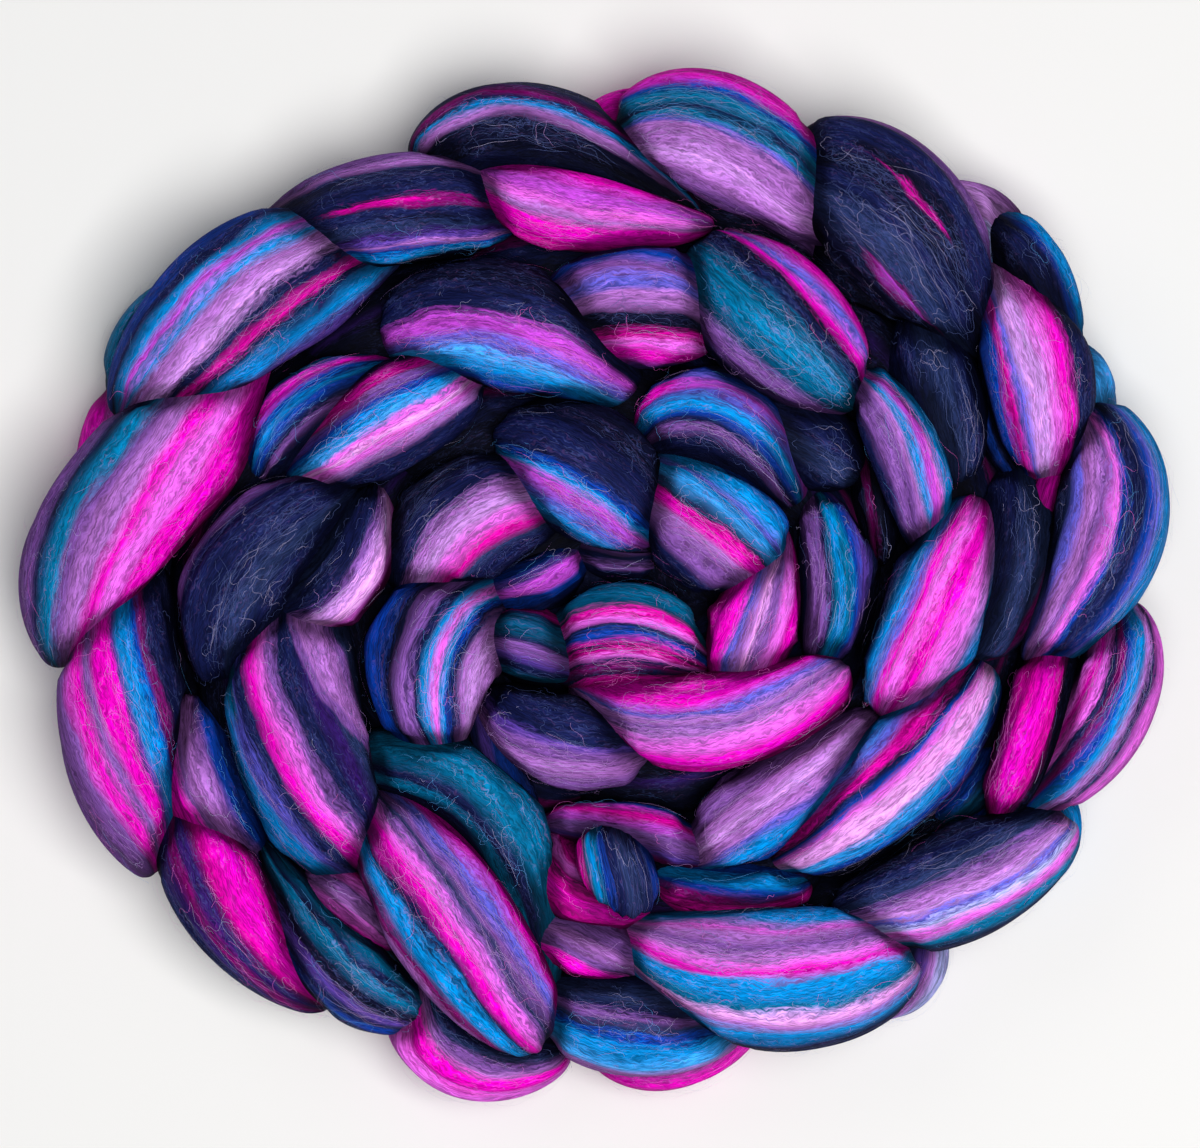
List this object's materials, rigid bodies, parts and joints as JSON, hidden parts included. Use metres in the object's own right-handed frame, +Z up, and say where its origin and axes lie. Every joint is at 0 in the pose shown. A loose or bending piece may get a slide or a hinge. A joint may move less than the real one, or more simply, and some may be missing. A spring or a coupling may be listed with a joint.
{
  "type": "coiled chain braid of wool roving",
  "caption": "Soft oval nest of dyed combed wool roving, finger-chained into plump bouts and coiled flat from an eye to an outer turn.",
  "frame": {"origin": "on the surface the braid rests on, under the middle of its outline", "axes": "+X along the long way of the oval, +Y along its short way, +Z up out of the coil"},
  "size_m": [0.2834, 0.2543, 0.0548],
  "materials": {
    "dyed_wool": "matt combed wool fibre, dyed in long blends of navy, azure, teal, magenta, hot pink and lilac"
  },
  "bodies": {
    "root": {"braid": "dyed_wool"}
  },
  "joints": []
}
